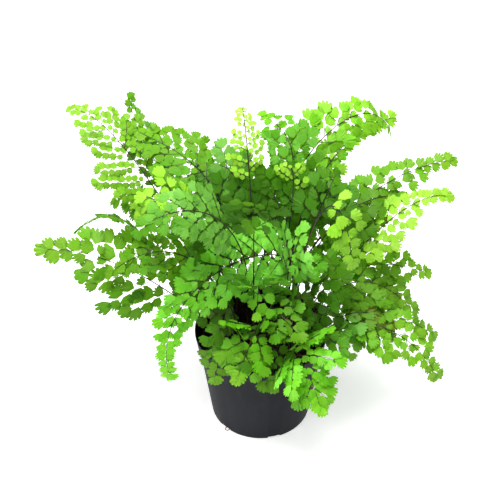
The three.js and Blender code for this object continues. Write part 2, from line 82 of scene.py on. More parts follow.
# One row per frond, in millimetres and degrees:
# azimuth, reach, height of the tip, rise of the first handle, height of the second handle over
# the tip, share of the arch where the blade starts, half-width of the blade, roll, size of a
# leaflet, age from 0 (just opened) to 1 (old), and what differs from the usual. Of these last,
# from is the azimuth of its foot, lean and setback are how far out the first handle is and how
# far back the second, bow bends the arch sideways, open spreads the side branches, gap spreads
# everything on the blade, taper shrinks the leaflets towards the tip, rust is how far it has
# died back, and tone scales its brightness. That brightness is painted light and shade: above 1
# it paints light on fronds that are lit at the front, and below 1 it paints shade on fronds that
# sit deep in the plant.
FRONDS = [
    # tall ones at the left
    (
        157, 190, 308, 75, 15, 0.46, 60, -25, 8, 0.3,
        {"lean": 0.25, "setback": 0.3, "bow": 5, "open": 1.5, "painted_light_and_tone": 0.72},
    ),
    (
        140, 160, 302, 135, -50, 0.6, 30, -20, 8, 0.8,
        {"from": 128, "lean": 0.1, "setback": 0.05, "bow": 20, "painted_light_and_tone": 0.7},
    ),
    (150, 135, 290, 195, -15, 0.5, 42, -20, 10, 0.45, {"lean": 0.1, "bow": -5, "painted_light_and_tone": 0.72}),
    (
        115, 135, 240, 165, -30, 0.55, 38, -10, 11, 0.75,
        {"from": 178, "lean": 0.3, "setback": 0, "bow": 35, "painted_light_and_tone": 0.9},
    ),
    (
        172, 172, 210, 60, 65, 0.5, 34, 30, 12, 0.7,
        {"lean": 0.35, "setback": 0.35, "bow": 5, "painted_light_and_tone": 0.68},
    ),
    (190, 140, 195, 110, 45, 0.36, 42, -20, 10, 0.5, {"painted_light_and_tone": 0.6}),
    (
        155, 155, 212, 170, 20, 0.55, 36, -25, 12, 0.6,
        {"lean": 0.2, "setback": 0.35, "bow": -5, "painted_light_and_tone": 0.68},
    ),
    (
        185, 196, 216, 35, 0, 0.38, 58, -55, 14, 0.5,
        {"setback": 0.35, "open": 1.2, "taper": 0.02, "painted_light_and_tone": 0.62},
    ),
    # crown
    (
        210, 120, 270, 190, 30, 0.36, 44, -45, 11, 0.95,
        {"lean": -0.1, "setback": 0.25, "bow": 10, "painted_light_and_tone": 1},
    ),
    (
        145, 90, 240, 195, 50, 0.42, 34, -30, 12, 0.95,
        {"from": 152, "lean": -0.1, "bow": -25, "painted_light_and_tone": 0.85},
    ),
    (185, 110, 245, 175, 45, 0.5, 38, -35, 11, 0.1, {"lean": 0.25, "setback": 0.3, "painted_light_and_tone": 0.9}),
    (
        105, 75, 310, 185, 25, 0.42, 24, 0, 6, 0,
        {"lean": 0.15, "bow": 5, "open": 1.4, "gap": 1.2, "taper": 0.4},
    ),
    (
        88, 85, 295, 210, -5, 0.45, 36, -10, 10, 0.7,
        {"lean": 0.1, "setback": 0.45, "bow": -40, "painted_light_and_tone": 0.95},
    ),
    # right side, from the top down
    (
        40, 160, 270, 180, 70, 0.38, 40, 45, 12, 0.4,
        {"from": 100, "lean": 0.05, "setback": 0.25, "bow": 5, "painted_light_and_tone": 1.05},
    ),
    (
        15, 178, 270, 125, 5, 0.42, 36, 45, 11, 0.45,
        {"lean": 0.05, "setback": 0.3, "open": 1.15, "painted_light_and_tone": 0.7},
    ),
    (
        4, 168, 255, 65, 15, 0.44, 34, 35, 10, 0.05,
        {"lean": 0.25, "setback": 0.3, "bow": -5, "open": 1.2, "painted_light_and_tone": 0.78},
    ),
    (
        6, 158, 162, 105, 25, 0.3, 42, 45, 11, 0.4,
        {"setback": 0.3, "bow": -5, "open": 1.15, "painted_light_and_tone": 0.9},
    ),
    (-6, 145, 142, 75, 60, 0.34, 42, 45, 11, 0.35, {"lean": 0.25, "painted_light_and_tone": 0.7}),
    (
        55, 35, 275, 190, 15, 0.5, 24, 20, 6, 0,
        {"lean": 0.35, "setback": 0.2, "bow": -20, "open": 1.4, "gap": 1.2, "taper": 0.4},
    ),
    (-35, 95, 230, 200, 90, 0.58, 26, 40, 11, 0.2, {"from": -42, "setback": 0.2, "bow": 10}),
    # the long one that sweeps over the front left
    (
        223, 115, 115, 120, 140, 0.2, 50, -60, 11, 0.8,
        {"from": -5, "lean": -0.9, "setback": -0.2, "bow": -20, "gap": 0.9, "painted_light_and_tone": 1.7},
    ),
    # low ones at the right
    (
        -14, 125, 140, 20, 30, 0.34, 32, 30, 12, 0.9,
        {"lean": 0.25, "bow": -5, "rust": 0.8, "painted_light_and_tone": 0.95},
    ),
    (
        -10, 125, 115, 40, 35, 0.36, 38, 45, 11, 0.6,
        {"lean": 0.25, "setback": 0.3, "bow": -5, "painted_light_and_tone": 0.7},
    ),
    (
        0, 170, 96, 65, 60, 0.45, 32, 40, 12, 0.55,
        {"from": -8, "lean": 0.05, "setback": 0.45, "bow": -5, "open": 1.2, "painted_light_and_tone": 0.85},
    ),
    (
        -18, 175, 92, 50, 80, 0.42, 36, 35, 11, 0.4,
        {"lean": 0.05, "setback": 0.25, "open": 1.2, "painted_light_and_tone": 0.85},
    ),
    (-28, 95, 112, 30, 45, 0.4, 38, 45, 12, 0.6, {"lean": 0.2, "setback": 0.3, "bow": -5, "painted_light_and_tone": 0.7}),
    # front, over the rim
    (
        -60, 108, 90, 30, 70, 0.27, 52, 25, 11, 0.65,
        {"lean": 0.2, "setback": 0.35, "bow": -5, "gap": 0.85, "painted_light_and_tone": 1.3},
    ),
    (-106, 82, 115, 85, 50, 0.34, 46, -10, 11, 0.5, {"bow": 15, "gap": 0.85, "painted_light_and_tone": 1}),
    (
        -124, 80, 102, 90, 60, 0.36, 36, -20, 11, 0.5,
        {"setback": 0.3, "bow": 5, "gap": 0.9, "painted_light_and_tone": 0.75},
    ),
    (-65, 75, 160, 100, 15, 0.3, 42, 30, 11, 0.55, {"lean": 0.05, "bow": -15, "painted_light_and_tone": 0.7}),
    # short ones that fill the middle
    (
        24, 70, 265, 175, 5, 0.42, 40, 45, 12, 0.7,
        {"lean": 0.25, "setback": 0.1, "bow": -25, "painted_light_and_tone": 0.65},
    ),
    (-105, 40, 260, 180, 30, 0.42, 44, 0, 11, 0.7, {"painted_light_and_tone": 0.6}),
    (265, 55, 175, 120, 20, 0.3, 44, 0, 11, 0.7, {"painted_light_and_tone": 0.9}),
    (
        12, 125, 245, 130, 10, 0.4, 42, 45, 12, 0.5,
        {"lean": 0.15, "setback": 0.35, "bow": -5, "painted_light_and_tone": 0.6},
    ),
    (
        -10, 80, 190, 85, 10, 0.3, 46, 55, 11, 0.6,
        {"from": -19, "lean": 0.2, "setback": 0.2, "bow": -5, "painted_light_and_tone": 0.6},
    ),
    (-135, 60, 135, 80, 45, 0.28, 44, -45, 11, 0.6, {"setback": 0.2, "painted_light_and_tone": 0.4}),
    (-82, 80, 106, 65, 60, 0.34, 46, 0, 11, 0.6, {"painted_light_and_tone": 0.6}),
    (-166, 65, 185, 140, 50, 0.28, 44, -45, 11, 0.7, {"painted_light_and_tone": 0.55}),
    (152, 85, 230, 160, 50, 0.32, 46, -45, 11, 0.75, {"painted_light_and_tone": 0.6}),
    (26, 85, 240, 175, 40, 0.36, 46, 45, 11, 0.6, {"painted_light_and_tone": 0.6}),
    (-45, 50, 160, 120, 30, 0.3, 40, 45, 11, 0.6, {"painted_light_and_tone": 0.35}),
    (172, 60, 205, 150, 30, 0.3, 46, -55, 11, 0.7, {"painted_light_and_tone": 0.55}),
    (70, 55, 235, 170, 40, 0.3, 48, 30, 11, 0.65, {"painted_light_and_tone": 0.6}),
    (-155, 50, 145, 110, 30, 0.3, 40, -40, 11, 0.6, {"painted_light_and_tone": 0.35}),
    (-25, 52, 190, 140, 35, 0.3, 46, 50, 11, 0.9, {"from": -15, "lean": 0, "painted_light_and_tone": 1.5}),
    (40, 162, 280, 170, 15, 0.42, 22, 40, 12, 0.3, {"setback": 0.4}),
    (50, 60, 130, 80, 40, 0.25, 46, 40, 11, 0.65, {"painted_light_and_tone": 0.45}),
    (-34, 75, 130, 80, 40, 0.28, 42, 45, 11, 0.6, {"painted_light_and_tone": 0.35}),
    (180, 80, 140, 100, 40, 0.26, 46, -50, 11, 0.7, {"painted_light_and_tone": 0.45}),
    # back
    (62, 140, 190, 150, 60, 0.25, 54, 35, 11, 0.6, {"painted_light_and_tone": 0.8}),
    (86, 140, 170, 150, 60, 0.24, 54, 0, 11, 0.5, {"painted_light_and_tone": 0.8}),
    (112, 140, 180, 150, 60, 0.25, 54, -30, 11, 0.6, {"painted_light_and_tone": 0.8}),
    (72, 110, 105, 100, 60, 0.24, 50, 25, 11, 0.5, {"painted_light_and_tone": 0.7}),
    (132, 120, 120, 110, 60, 0.25, 50, -40, 11, 0.6, {"painted_light_and_tone": 0.7}),
    (36, 145, 150, 120, 60, 0.28, 50, 45, 11, 0.5, {"painted_light_and_tone": 0.8}),
    (118, 120, 205, 170, 60, 0.28, 50, -35, 11, 0.6, {"painted_light_and_tone": 0.8}),
    (136, 130, 160, 120, 60, 0.3, 46, -45, 11, 0.5, {"painted_light_and_tone": 0.8}),
]

# ------------------------------------------------------------------ settings that a user may change


def length_setting(name, description, default):
    """A distance, in metres."""
    return bpy.props.FloatProperty(
        name=name, description=description, default=default, unit="LENGTH"
    )


def color_setting(name, description, default):
    """A colour, as three linear channels."""
    return bpy.props.FloatVectorProperty(
        name=name, description=description, default=default, subtype="COLOR"
    )


def number_setting(name, description, default, least):
    """A plain number that can't go below the least."""
    return bpy.props.FloatProperty(name=name, description=description, default=default, min=least)


class FoliageSettings(bpy.types.PropertyGroup):
    """Sizes and colours of the fronds."""

    branch_gap: number_setting(
        "Branch gap", "Distance between side branches, in leaflet sizes", 0.66, 0.2
    )
    leaflet_gap: number_setting(
        "Leaflet gap", "Distance between leaflets along a branch, in leaflet sizes", 0.42, 0.2
    )
    direct_gap: number_setting(
        "Direct leaflet gap",
        "Distance between the leaflets that sit on the midrib, in leaflet sizes",
        0.44,
        0.2,
    )
    stalk_radius: length_setting(
        "Stalk radius", "Radius of a frond's stalk where it leaves the compost", 0.65 * MM
    )
    young_color: color_setting(
        "Young leaf", "Colour of a leaflet that has just opened", (0.42, 0.78, 0.07)
    )
    grown_color: color_setting("Grown leaf", "Colour of a grown leaflet", (0.125, 0.40, 0.012))
    # Partly painted sheen: old leaflets are lighter and bluer than grown ones for their age, and more
    # so to paint the sheen on their upper faces.
    old_and_sheen_color: color_setting(
        "Old leaf", "Colour of a leaflet from an earlier season", (0.185, 0.43, 0.085)
    )
    rust_color: color_setting("Rust", "Colour of a leaflet that is dying back", (0.36, 0.17, 0.07))
    stalk_color: color_setting(
        "Stalk", "Colour of the wiry stalks and branches", (0.014, 0.008, 0.012)
    )


class PotSettings(bpy.types.PropertyGroup):
    """Sizes and colours of the pot and what fills it."""

    wall: length_setting("Wall", "Thickness of the moulded wall", 1.2 * MM)
    band_height: length_setting("Rim band", "Height of the band round the rim", 14 * MM)
    plastic_color: color_setting("Plastic", "Colour of the pot", (0.0075, 0.008, 0.0105))
    # Painted light from the floor: the pot is painted lighter from its base up to this height.
    floor_light_height: length_setting(
        "Floor light height", "Height up the pot where the dust round its base fades out", 70 * MM
    )
    compost_color: color_setting("Compost", "Colour of the potting mix", (0.018, 0.010, 0.006))


class StageSettings(bpy.types.PropertyGroup):
    """Camera and light."""

    camera_elevation: bpy.props.FloatProperty(
        name="Camera elevation",
        description="Angle of the camera above the horizon",
        default=np.radians(38.5),
        subtype="ANGLE",
    )
    camera_distance: length_setting(
        "Camera distance", "Distance from the camera to the point that it looks at", 1.0
    )
    top_light: number_setting(
        "Top light", "Power of the large overhead softbox, in watts", 36.0, 0.0
    )
    side_light: number_setting(
        "Side light", "Power of the softbox at the front left, in watts", 4.0, 0.0
    )
    sky: number_setting("Surround", "Brightness of the white surroundings", 0.06, 0.0)


# ------------------------------------------------------------------ vectors and meshes


def unit(vectors):
    """Vectors of length one in the same directions."""
    return vectors / np.linalg.norm(vectors, axis=-1, keepdims=True)


def horizontal(degrees):
    """The level direction at an azimuth, where 0 is +X and 90 is +Y."""
    angle = np.radians(degrees)
    return np.array([np.cos(angle), np.sin(angle), 0.0])


def full_turn(count):
    """Equal steps round a circle, in radians."""
    return np.linspace(0, 2 * np.pi, count, endpoint=False)


def turn_about(vectors, axis, angle):
    """Vectors turned about unit axes that they are square to."""
    cos, sin = np.cos(angle)[:, None], np.sin(angle)[:, None]
    return vectors * cos + np.cross(axis, vectors) * sin


def smooth_curve(points, t):
    """A Catmull-Rom curve: a cubic through every point, whose direction at each is that of the
    line between its neighbours."""
    padded = np.concatenate([[2 * points[0] - points[1]], points, [2 * points[-1] - points[-2]]])
    k = np.minimum(t.astype(int), len(points) - 2)
    s = (t - k)[:, None]
    a, b, c, d = (padded[k + shift] for shift in range(4))
    bend = 2 * a - 5 * b + 4 * c - d
    twist = 3 * b - a - 3 * c + d
    return 0.5 * (2 * b + (c - a) * s + bend * s**2 + twist * s**3)


def make_object(name, points, faces, materials, smooth=True):
    """A mesh object from an array of points and a list of (corner array, material number)."""
    mesh = bpy.data.meshes.new(name)
    corners = np.concatenate([block.ravel() for block, _ in faces])
    sizes = np.concatenate([np.full(len(block), block.shape[1]) for block, _ in faces])
    slots = np.concatenate([np.full(len(block), slot) for block, slot in faces])
    mesh.vertices.add(len(points))
    mesh.vertices.foreach_set("co", np.ascontiguousarray(points, dtype=np.float32).ravel())
    mesh.loops.add(len(corners))
    mesh.loops.foreach_set("vertex_index", corners.astype(np.int32))
    mesh.polygons.add(len(sizes))
    starts = np.concatenate([[0], np.cumsum(sizes)[:-1]])
    mesh.polygons.foreach_set("loop_start", starts.astype(np.int32))
    for material in materials:
        mesh.materials.append(material)
    mesh.polygons.foreach_set("material_index", slots.astype(np.int32))
    mesh.polygons.foreach_set("use_smooth", np.full(len(sizes), smooth))
    mesh.update(calc_edges=True)
    mesh.validate()
    piece = bpy.data.objects.new(name, mesh)
    bpy.context.scene.collection.objects.link(piece)
    return piece


def add_point_values(piece, name, values):
    """Stores one number per vertex on a piece."""
    stored = piece.data.attributes.new(name, "FLOAT", "POINT")
    stored.data.foreach_set("value", np.ascontiguousarray(values, dtype=np.float32))


def add_uv(piece, name, coordinates):
    """Stores one UV pair per vertex, shared by every corner at that vertex."""
    layer = piece.data.uv_layers.new(name=name)
    index = np.empty(len(piece.data.loops), dtype=np.int32)
    piece.data.loops.foreach_get("vertex_index", index)
    layer.data.foreach_set("uv", coordinates[index].astype(np.float32).ravel())


def ring_quads(starts, count):
    """Quads from each ring of points to the ring that follows it. Every start is the number of
    a ring's first point, and a ring has count points."""
    here = np.arange(count)
    after = (here + 1) % count
    low = starts[..., None]
    high = low + count
    return np.stack([low + here, low + after, high + after, high + here], -1).reshape(-1, 4)


def pole_triangles(poles, starts, count, below):
    """Triangles from each pole to its ring, which face down if the poles are below the rings
    and up if they are above."""
    here = np.arange(count)
    after = (here + 1) % count
    first, second = (after, here) if below else (here, after)
    ring = starts[:, None]
    corners = np.broadcast_arrays(poles[:, None], ring + first, ring + second)
    return np.stack(corners, -1).reshape(-1, 3)


def close_rings(rings, low_pole, high_pole):
    """A closed skin over a stack of rings of points, with a pole at each end. Returns points,
    triangles and quads."""
    levels, count = rings.shape[:2]
    total = levels * count
    quads = ring_quads(np.arange(levels - 1) * count, count)
    low = pole_triangles(np.array([total]), np.array([0]), count, below=True)
    high = pole_triangles(np.array([total + 1]), np.array([total - count]), count, below=False)
    points = np.concatenate([rings.reshape(-1, 3), [low_pole, high_pole]])
    return points, np.concatenate([low, high]), quads


def sweep(paths, radii, reference, sides):
    """Round bars along many paths at once. Each path is a row of points, and every point is
    ringed by a circle square to the path, whose first spoke is square to the reference too. A
    ring at an end with no radius closes the bar there. Returns points and quads."""
    along = unit(np.gradient(paths, axis=1))
    spoke = unit(np.cross(along, reference[:, None, :]))
    other = np.cross(spoke, along)
    turn = full_turn(sides)
    ring = spoke[:, :, None] * np.cos(turn)[:, None] + other[:, :, None] * np.sin(turn)[:, None]
    points = paths[:, :, None] + radii[:, :, None, None] * ring
    rings = np.arange(radii.size).reshape(radii.shape) * sides
    return points.reshape(-1, 3), ring_quads(rings[:, :-1], sides)


# ------------------------------------------------------------------ one frond


def read_frond(row, number):
    """The four handles of a frond's midrib and its other sizes, in metres and radians."""
    azimuth, reach, top, rise, crest, start, half_width, roll, leaflet, age, extra = row
    out, side = horizontal(azimuth), horizontal(azimuth + 90)
    lean = extra.get("lean", DEFAULT_LEAN)
    setback = extra.get("setback", DEFAULT_SETBACK)
    bow = extra.get("bow", 0)
    foot_radius = FOOT_INNER + FOOT_SPREAD * (TALLEST - top) + FOOT_STAGGER * (number % 3)
    foot = horizontal(extra.get("from", azimuth)) * foot_radius + UP * SOIL_LEVEL
    tip = out * reach + UP * top
    first = foot + UP * rise + out * lean * reach + side * bow
    second = tip + UP * crest - out * setback * reach + side * BOW_AT_CREST * bow
    return {
        "handles": np.array([foot, first, second, tip]) * MM,
        "side": side,
        "start": start,
        "half_width": half_width * MM,
        "roll": np.radians(roll),
        "leaflet": leaflet * MM,
        "age": age,
        "rust": extra.get("rust", 0.0),
        # Painted light and shade: the brightness of the whole frond, above 1 where it is lit at the
        # front and below 1 where it sits in shade.
        "painted_light_and_tone": extra.get("painted_light_and_tone", 1.0),
        "gap": extra.get("gap", 1.0),
        "open": extra.get("open", 1.0),
        "taper": extra.get("taper", 0.12),
    }


def arch_point(frond, t):
    """Points on the cubic curve through the frond's handles."""
    a, b, c, d = frond["handles"]
    t = np.asarray(t)[..., None]
    s = 1 - t
    return s**3 * a + 3 * s * s * t * b + 3 * s * t * t * c + t**3 * d


def arch_direction(frond, t):
    """Unit directions along the same curve: its first derivative."""
    a, b, c, d = frond["handles"]
    t = np.asarray(t)[..., None]
    s = 1 - t
    return unit(s * s * (b - a) + 2 * s * t * (c - b) + t * t * (d - c))


def blade_axes(frond, t):
    """Directions along and across the blade and out of its upper face. Across starts level and
    square to the frond's azimuth, and is turned about the midrib by the roll."""
    along = arch_direction(frond, t)
    across = unit(frond["side"] - along * (along @ frond["side"])[..., None])
    face = np.cross(along, across)
    cos, sin = np.cos(frond["roll"]), np.sin(frond["roll"])
    return along, across * cos + face * sin, face * cos - across * sin


def blade_profile(share):
    """Half-width of the blade at a share of its length. It grows from 0.62 to 1 over the first
    0.22 of the blade, times a power that narrows it to nothing at the tip."""
    return (1 - share) ** 0.75 * (0.62 + 0.38 * np.minimum(1, share / 0.22))


def leaflet_scale(spots):
    """Size of the leaflets along a side branch. It grows from 0.6 to 1 over the first 0.4 of the
    branch, and by a fourth power to 1.08 at its end."""
    return 0.6 + 0.4 * np.minimum(1, spots / 0.4) + 0.08 * spots**4


# Layout of a blade, with angles in degrees. A pair without a note is the middle and the spread
# of a random amount, here and below.
BLADE_SAMPLES = 200
FIRST_BRANCH = 0.03  # share of the blade below the first side branch
TIP_ROOM = 0.25  # bare end of the midrib, in leaflet sizes
REACH_RANGE = (0.88, 1.08)  # shortest and longest branch, as shares of the blade's half-width
BRANCH_STEPS = 7
BRANCH_ANGLE = 58  # between the lowest branch and the midrib
BRANCH_CLOSING = 18  # by how much that angle closes towards the tip
BRANCH_ANGLE_SPREAD = 4
BRANCH_FORWARD = 0.14  # sweep towards the tip, as a share of the branch
BRANCH_LIFT = (0, 0.05)
BRANCH_SAG = (0.12, 0.04)
END_LEAFLET = 0.85  # what the last leaflet adds to a branch, in leaflet sizes
DIRECT_LIMIT = 1.45  # reach in leaflet sizes below which leaflets sit on the midrib
LEAFLET_ANGLE = 50
LEAFLET_CLOSING = 12
FIRST_LEAFLET = 0.12  # share of a branch below its first leaflet
TANGENT_STEP = 0.02
TIP_LEAFLET = 1.05
TIP_PLACE = 0.985


def turn_towards(way, side_way, degrees):
    """A direction that leaves the first towards the second, square to it, by an angle."""
    angle = np.radians(degrees)
    return way * np.cos(angle) + side_way * np.sin(angle)


def branch_leaflets(path, face, scale, spacing, reach, share):
    """Leaflets on alternate sides of one side branch, and one at its end."""
    count = max(2, int(round(reach / spacing)) + 1)
    spots = np.linspace(FIRST_LEAFLET, 1, count)
    places = path(spots)
    ways = unit(path(spots + TANGENT_STEP) - path(spots - TANGENT_STEP))
    sizes = scale * leaflet_scale(spots)
    leaflets = []
    for k in range(count):
        hand = 0 if k == count - 1 else (1 if k % 2 else -1)
        way = turn_towards(ways[k], np.cross(face, ways[k]), hand * LEAFLET_ANGLE)
        leaflets.append((places[k], way, face, sizes[k], share, hand))
    return leaflets


def place_branches(frond, foliage, draw):
    """Walks up the blade and returns its side branches and its leaflets. Each branch leaves the
    midrib at an angle that closes towards the tip, sweeps forward and sags with the square of
    its length. Near the tip the leaflets sit on the midrib itself. Each leaflet is a tuple of
    its place, its direction, its upper side, its size, how far up the blade it is, and its hand:
    -1 or 1 for the side of the branch that it is on, 0 at the branch's end."""
    size = frond["leaflet"]
    t = np.linspace(frond["start"], 1, BLADE_SAMPLES)
    steps = np.linalg.norm(np.diff(arch_point(frond, t), axis=0), axis=1)
    lengths = np.concatenate([[0], np.cumsum(steps)])
    total = lengths[-1]
    branches, leaflets = [], []
    position, side = FIRST_BRANCH * total, draw.choice([-1, 1])
    while position < total - TIP_ROOM * size:
        share = position / total
        here = np.interp(position, lengths, t)
        base = arch_point(frond, here)
        along, across, face = blade_axes(frond, here)
        reach = frond["half_width"] * blade_profile(share) * draw.uniform(*REACH_RANGE)
        scale = size * (1 - frond["taper"] * share)
        gap = frond["gap"] * scale
        if reach < DIRECT_LIMIT * scale:
            out = turn_towards(along, across * side, LEAFLET_ANGLE - LEAFLET_CLOSING * share)
            leaflets.append((base, out, face, scale, share, side))
            position += foliage.direct_gap * gap
            side = -side
            continue
        angle = BRANCH_ANGLE - BRANCH_CLOSING * share + draw.normal(0, BRANCH_ANGLE_SPREAD)
        out = turn_towards(along, across * side, angle)
        reach -= END_LEAFLET * scale
        lift = draw.normal(*BRANCH_LIFT)
        sag = draw.normal(*BRANCH_SAG)

        def path(u):
            u = u[:, None]
            forward = out * u + along * (BRANCH_FORWARD * u * u) + face * (lift * u)
            return base + reach * (forward - UP * (sag * u * u))

        branches.append((path(np.linspace(0, 1, BRANCH_STEPS)), face))
        leaflets += branch_leaflets(path, face, scale, foliage.leaflet_gap * gap, reach, share)
        position += foliage.branch_gap * gap * frond["open"]
        side = -side
    along, _, face = blade_axes(frond, 1.0)
    end_size = size * (1 - frond["taper"]) * TIP_LEAFLET
    leaflets.append((arch_point(frond, TIP_PLACE), along, face, end_size, 1.0, 0))
    return branches, leaflets


# A leaflet is a fan of 24 segments and 2 rings. Its outer edge is cut into 3, 4 or 5 lobes, and
# each row below gives the segments where the lobes end.
SEGMENTS = 24
RINGS = np.array([0.55, 1.0])
LOBE_ENDS = [(0, 8, 16, 24), (0, 6, 12, 18, 24), (0, 7, 12, 17, 24), (0, 5, 10, 14, 19, 24)]

# Shape of a leaflet, as shares of its size.
FAN_SPREAD = (37, 47)  # least and most half-angle, in degrees
FAN_BASE_WIDENING = 1.7  # times that angle, where the fan leaves its stalk
FAN_NARROWING = 0.75  # by how much this falls towards the edge
LOBE_DEPTH = (0.12, 0.24)  # least and most
EDGE_RAGGED = 0.008
EDGE_ROUND = 0.08
CORNER_ROUND = 0.1
LONG_SIDE = 0.1
CURL = (0.14, 0.08)
CUP = (0.12, 0.12)
RIPPLE = 0.02


def lobe_edges():
    """How far each segment is from the middle of its lobe, 0 in the middle and 1 at a notch."""
    rows = []
    for ends in LOBE_ENDS:
        place = np.interp(np.arange(SEGMENTS + 1), ends, np.arange(len(ends)))
        rows.append(np.abs(2 * (place % 1) - 1))
    return np.array(rows)


LOBES = lobe_edges()


def fan_surfaces(base, way, face, size, hand, draw):
    """Leaflets as fans. Distance from the stalk times the cosine and sine of the angle gives
    the flat fan, whose angle narrows outwards. The lobes shorten it at their notches, its
    corners are rounded, and the side next to the branch is longer. The blade curls and cups by
    the square of the distance along and across it. Returns points and UVs for all leaflets."""
    count = len(size)
    angle = np.linspace(-1, 1, SEGMENTS + 1)
    spread = np.radians(draw.uniform(*FAN_SPREAD, count))[:, None, None]
    notch = LOBES[draw.integers(0, len(LOBES), count)]
    depth = draw.uniform(*LOBE_DEPTH, count)[:, None]
    ragged = draw.normal(0, EDGE_RAGGED, (count, SEGMENTS + 1))
    outline = 1 - depth * notch**4 - EDGE_ROUND * angle**2 - CORNER_ROUND * angle**6 + ragged
    outline = outline * (1 - LONG_SIDE * hand[:, None] * angle)
    ring = RINGS[None, :, None]
    distance = ring * (1 - ring**3 * (1 - outline[:, None, :]))
    theta = spread * angle * (FAN_BASE_WIDENING - FAN_NARROWING * ring)
    x = distance * np.cos(theta)
    y = distance * np.sin(theta)
    curl = draw.normal(*CURL, count)[:, None, None]
    cup = draw.normal(*CUP, count)[:, None, None]
    ripple = draw.normal(0, RIPPLE, (count, 1, SEGMENTS + 1)) * ring**2
    z = -curl * x * x - cup * y * y + ripple
    across = np.cross(face, way)
    local = [axis[:, None, None, :] for axis in (way, across, face)]
    scale = size[:, None, None, None]
    fan = base[:, None, None, :] + scale * (
        local[0] * x[..., None] + local[1] * y[..., None] + local[2] * z[..., None]
    )
    points = np.concatenate([base[:, None, :], fan.reshape(count, -1, 3)], axis=1)
    u = np.broadcast_to((angle + 1) / 2, (count, len(RINGS), SEGMENTS + 1))
    v = np.broadcast_to(ring, u.shape)
    uv = np.stack([u, v], -1).reshape(count, -1, 2)
    centre = np.broadcast_to([0.5, 0.0], (count, 1, 2))
    return points, np.concatenate([centre, uv], axis=1)


def fan_faces(count):
    """Triangles round the stalk end and quads between the rings, for many leaflets."""
    row = SEGMENTS + 1
    k = np.arange(SEGMENTS)
    triangles = np.stack([np.zeros_like(k), 1 + k, 2 + k], -1)
    rings = np.arange(len(RINGS) - 1)[:, None] * row
    low = 1 + rings + k
    quads = np.stack([low, low + row, low + row + 1, low + 1], -1).reshape(-1, 4)
    offset = np.arange(count)[:, None, None] * (1 + row * len(RINGS))
    return (triangles + offset).reshape(-1, 3), (quads + offset).reshape(-1, 4)


# How leaflets differ from each other. Angles are degrees.
SIZE_RANGE = (0.88, 1.12)  # least and most
WAY_SPREAD = 4
PITCH = (3, 4)
TILT_SPREAD = 5
YOUNGER_TIP = 0.45  # how much of its age a frond has lost at its tip
AGE_SPREAD = 0.05
TONE_SPREAD = 0.09
RUST_START = 0.35  # share of the blade below the first rust
RUST_LENGTH = 0.4  # further share over which it grows to its full amount
LEAST_RUST = 0.3  # on the least rusty leaflet, as a share of the full amount
LEAFLET_STALK = 0.12  # length, in leaflet sizes
STALK_OVERLAP = 0.2 * MM  # how far a leaflet's stalk runs into its branch


def make_leaflets(frond, placed, draw):
    """All of a frond's leaflets and their short stalks, each turned a little at random."""
    count = len(placed)
    base, way, face, size, share, hand = (np.array(column) for column in zip(*placed))
    way = unit(way)
    size = size * draw.uniform(*SIZE_RANGE, count)
    face = unit(face - way * np.sum(face * way, axis=1)[:, None])
    way = turn_about(way, face, np.radians(draw.normal(0, WAY_SPREAD, count)))
    across = np.cross(face, way)
    pitch = np.radians(draw.normal(*PITCH, count))
    way, face = turn_about(way, across, pitch), turn_about(face, across, pitch)
    face = turn_about(face, way, np.radians(draw.normal(0, TILT_SPREAD, count)))
    stalk_end = base + way * (LEAFLET_STALK * size)[:, None]
    points, uv = fan_surfaces(stalk_end, way, face, size, hand, draw)
    stalks = np.stack([base - way * STALK_OVERLAP, base, (base + stalk_end) / 2, stalk_end], axis=1)
    tint = draw.normal(0, 1, count)
    rusting = np.clip((share - RUST_START) / RUST_LENGTH, 0, 1)
    values = {
        "age": frond["age"] * (1 - YOUNGER_TIP * share**2) + AGE_SPREAD * tint,
        "rust": frond["rust"] * rusting * draw.uniform(LEAST_RUST, 1, count),
        # Painted light and shade of the frond, with a random spread for each leaflet.
        "painted_light_and_tone": frond["painted_light_and_tone"] * (1 + TONE_SPREAD * tint),
    }
    return points, uv, values, stalks, face


# Bars of a frond: points along them, sides round them, and radii in millimetres.
MIDRIB_POINTS = 40
MIDRIB_END = 0.99
MIDRIB_SIDES = 8
MIDRIB_TAPER = (1, 0.8, 0.28)  # thickness at the foot, half way and at the tip
BRANCH_SIDES = 5
BRANCH_RADII = (0.34, 0.16)  # at the midrib and at the end
THREAD_SIDES = 3
THREAD_RADII = (0, 0.15, 0.13, 0)  # at the points of a leaflet's stalk


def make_bars(frond, branches, stalks, stalk_faces, foliage):
    """The wiry parts of a frond, each a pair of points and quads: the stalk with the midrib, the
    side branches, and the leaflets' own stalks. A side branch starts open, on the midrib's
    axis."""
    midrib = arch_point(frond, np.linspace(0, MIDRIB_END, MIDRIB_POINTS))
    midrib = np.concatenate([midrib[:1] - UP * ROOTING_DEPTH * MM, midrib])
    share = np.linspace(0, 1, len(midrib))
    radius = foliage.stalk_radius * np.interp(share, [0, 0.5, 1], MIDRIB_TAPER)
    radius[[0, -1]] = 0
    bars = [sweep(midrib[None], radius[None], frond["side"][None], MIDRIB_SIDES)]
    if branches:
        paths, faces = (np.array(column) for column in zip(*branches))
        radius = np.linspace(*BRANCH_RADII, BRANCH_STEPS) * MM
        radius[-1] = 0
        bars.append(sweep(paths, np.tile(radius, (len(paths), 1)), faces, BRANCH_SIDES))
    radii = np.tile(np.array(THREAD_RADII) * MM, (len(stalks), 1))
    bars.append(sweep(stalks, radii, stalk_faces, THREAD_SIDES))
    return bars


FROND_SEED = 1000


